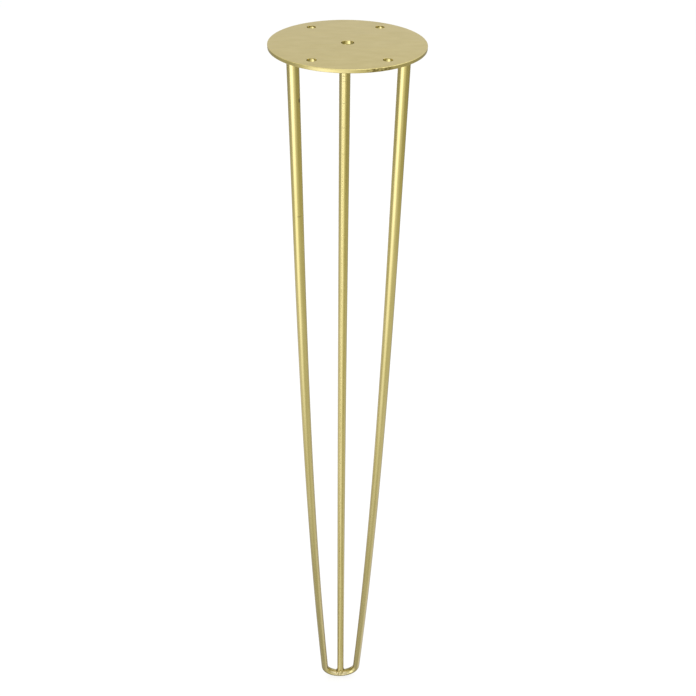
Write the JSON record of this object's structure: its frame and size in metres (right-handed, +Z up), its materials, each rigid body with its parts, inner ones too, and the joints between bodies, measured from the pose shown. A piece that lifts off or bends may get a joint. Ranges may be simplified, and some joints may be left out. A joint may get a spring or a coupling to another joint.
{
  "type": "tripod table leg",
  "caption": "Slender hairpin-style table leg in satin brass finish: round screw plate on top, thin curved rods set as a tripod, meeting in a rounded bend as the foot.",
  "frame": {"origin": "centre of the plate's upper face, which is screwed up against the table", "axes": "+Z up, out of the plate's upper face; the foot is at -Z; the hairpin's two legs stand at -Y and the rear rod at +Y"},
  "size_m": [0.091, 0.091, 0.7109],
  "materials": {
    "satin_brass": "satin, lightly brushed, brass-plated steel",
    "plated_weld": "rippled weld bead under the same brass plating"
  },
  "bodies": {
    "root": {"top_plate": "satin_brass", "front_hairpin": "satin_brass", "rear_rod": "satin_brass", "foot_weld": "plated_weld", "plate_weld_left": "plated_weld", "plate_weld_right": "plated_weld", "plate_weld_rear": "plated_weld"}
  },
  "joints": []
}
